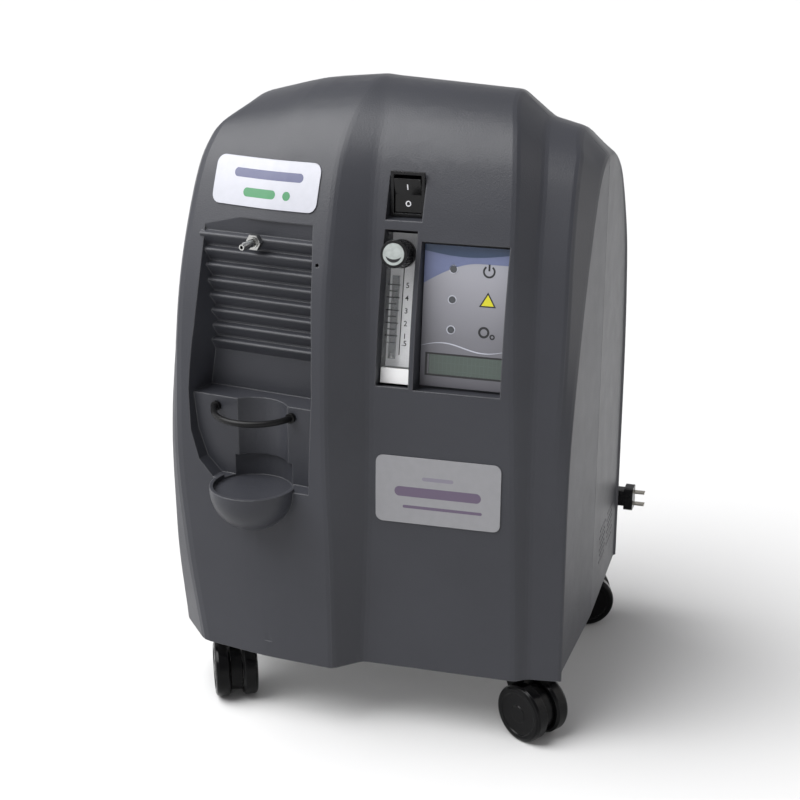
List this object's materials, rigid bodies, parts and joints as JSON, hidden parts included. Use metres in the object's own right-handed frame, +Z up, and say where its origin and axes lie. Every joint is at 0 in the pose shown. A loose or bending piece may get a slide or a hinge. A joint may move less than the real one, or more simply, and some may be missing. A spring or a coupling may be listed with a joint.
{
  "type": "oxygen concentrator",
  "caption": "Floor-standing oxygen concentrator: tall grey plastic cabinet on casters, with a bottle niche and cup, flowmeter, lamp panel, rocker switch and rear cord hook.",
  "frame": {"origin": "on the floor under the middle of the machine's box, measured without the cord and plug", "axes": "+X to the right seen from the front, +Y to the back, +Z up"},
  "size_m": [0.3728, 0.352, 0.5319],
  "materials": {
    "cover": "fine texture, satin",
    "name_plate_silver": "satin film with plain bars",
    "name_plate_white": "satin film with plain bars",
    "caster_black": "satin",
    "caster_wheel": "smooth tread",
    "black_plastic": "satin",
    "knob_cap": "brushed",
    "clear": "clear",
    "white_plastic": "smooth",
    "panel": "printed film",
    "steel": "plain",
    "iron": "painted",
    "aluminium": "cast",
    "rubber": "matt",
    "plug": "satin",
    "brass": "nickel plated",
    "foam": "open cell foam"
  },
  "bodies": {
    "cabinet": {"front_cover": "cover", "rear_cover": "cover", "rear_grip": "cover", "cord_hook": "cover", "lower_name_plate": "name_plate_silver", "upper_name_plate": "name_plate_white", "switch_housing": "black_plastic", "control_board": "black_plastic", "strap_studs": "black_plastic", "fan_frame": "black_plastic", "caster_sockets": "black_plastic", "intake_filter": "black_plastic", "flow_block": "clear", "display_window": "clear", "indicator_lamps": "clear", "flow_base": "white_plastic", "bacteria_filter": "white_plastic", "valve_block": "white_plastic", "base_tray": "white_plastic", "panel_plate": "panel", "cover_screws": "steel", "outlet_nut": "steel", "outlet_barb": "steel", "shelf": "steel", "compressor_plate": "steel", "pressure_regulator": "steel", "motor_stator": "iron", "crankcase_pair": "aluminium", "cylinder_pair": "aluminium", "cylinder_heads": "aluminium", "heat_exchanger": "aluminium", "sieve_bed_front": "aluminium", "sieve_bed_rear": "aluminium", "product_tank": "aluminium", "bottle_strap": "rubber", "rubber_mounts": "rubber", "cord_relief": "rubber", "cord_tube": "rubber", "cord_coil": "rubber", "hoses": "rubber", "plug": "plug", "plug_blades": "brass", "intake_foam": "foam"},
    "hood_front_left": {"caster_hood_front_left": "caster_black"},
    "wheels_front_left": {"caster_wheels_front_left": "caster_wheel"},
    "hood_front_right": {"caster_hood_front_right": "caster_black"},
    "wheels_front_right": {"caster_wheels_front_right": "caster_wheel"},
    "hood_rear_right": {"caster_hood_rear_right": "caster_black"},
    "wheels_rear_right": {"caster_wheels_rear_right": "caster_wheel"},
    "hood_rear_left": {"caster_hood_rear_left": "caster_black"},
    "wheels_rear_left": {"caster_wheels_rear_left": "caster_wheel"},
    "rocker": {"switch_rocker": "black_plastic"},
    "knob": {"flow_knob": "black_plastic", "knob_cap": "knob_cap"},
    "float": {"flow_float": "steel"},
    "fan": {"fan_rotor": "black_plastic"},
    "rotor": {"motor_rotor": "iron"},
    "left_piston": {"piston_left": "aluminium"},
    "right_piston": {"piston_right": "aluminium"},
    "door": {"intake_door": "cover"}
  },
  "joints": [
    {"name": "swivel_front_left", "type": "hinge", "parent": "cabinet", "child": "hood_front_left", "pos_m": [-0.13, -0.092, 0.06], "axis": [0, 0, 1], "continuous": true},
    {"name": "axle_front_left", "type": "hinge", "parent": "hood_front_left", "child": "wheels_front_left", "pos_m": [-0.12092, -0.10982, 0.025], "axis": [0.891, 0.454, 0], "continuous": true},
    {"name": "swivel_front_right", "type": "hinge", "parent": "cabinet", "child": "hood_front_right", "pos_m": [0.13, -0.092, 0.06], "axis": [0, 0, 1], "continuous": true},
    {"name": "axle_front_right", "type": "hinge", "parent": "hood_front_right", "child": "wheels_front_right", "pos_m": [0.14696, -0.1026, 0.025], "axis": [0.5299, 0.848, 0], "continuous": true},
    {"name": "swivel_rear_right", "type": "hinge", "parent": "cabinet", "child": "hood_rear_right", "pos_m": [0.13, 0.118, 0.06], "axis": [0, 0, 1], "continuous": true},
    {"name": "axle_rear_right", "type": "hinge", "parent": "hood_rear_right", "child": "wheels_rear_right", "pos_m": [0.14902, 0.12418, 0.025], "axis": [-0.309, 0.9511, 0], "continuous": true},
    {"name": "swivel_rear_left", "type": "hinge", "parent": "cabinet", "child": "hood_rear_left", "pos_m": [-0.13, 0.118, 0.06], "axis": [0, 0, 1], "continuous": true},
    {"name": "axle_rear_left", "type": "hinge", "parent": "hood_rear_left", "child": "wheels_rear_left", "pos_m": [-0.14813, 0.10955, 0.025], "axis": [0.4226, -0.9063, 0], "continuous": true},
    {"name": "power_rocker", "type": "hinge", "parent": "cabinet", "child": "rocker", "pos_m": [0.0285, -0.069, 0.4525], "axis": [-1, 0, 0], "range_deg": [0, 16]},
    {"name": "flow_valve", "type": "hinge", "parent": "cabinet", "child": "knob", "pos_m": [0.0275, -0.09732, 0.40862], "axis": [0, -0.9767, 0.2147], "range_deg": [0, 1080]},
    {"name": "float_rise", "type": "slide", "parent": "cabinet", "child": "float", "axis": [0, 0.2147, 0.9767], "range_m": [0, 0.06]},
    {"name": "fan_spin", "type": "hinge", "parent": "cabinet", "child": "fan", "pos_m": [0.046, 0.062, 0.26], "axis": [0, 0, 1], "continuous": true},
    {"name": "rotor_spin", "type": "hinge", "parent": "cabinet", "child": "rotor", "pos_m": [0.046, 0.062, 0.14], "axis": [1, 0, 0], "continuous": true},
    {"name": "left_stroke", "type": "slide", "parent": "cabinet", "child": "left_piston", "axis": [0, 0, 1], "range_m": [-0.008, 0.008]},
    {"name": "right_stroke", "type": "slide", "parent": "cabinet", "child": "right_piston", "axis": [0, 0, 1], "range_m": [-0.008, 0.008]},
    {"name": "door_hinge", "type": "hinge", "parent": "cabinet", "child": "door", "pos_m": [-0.086, 0.15562, 0.1158], "axis": [-1, 0, 0], "range_deg": [0, 95]}
  ]
}
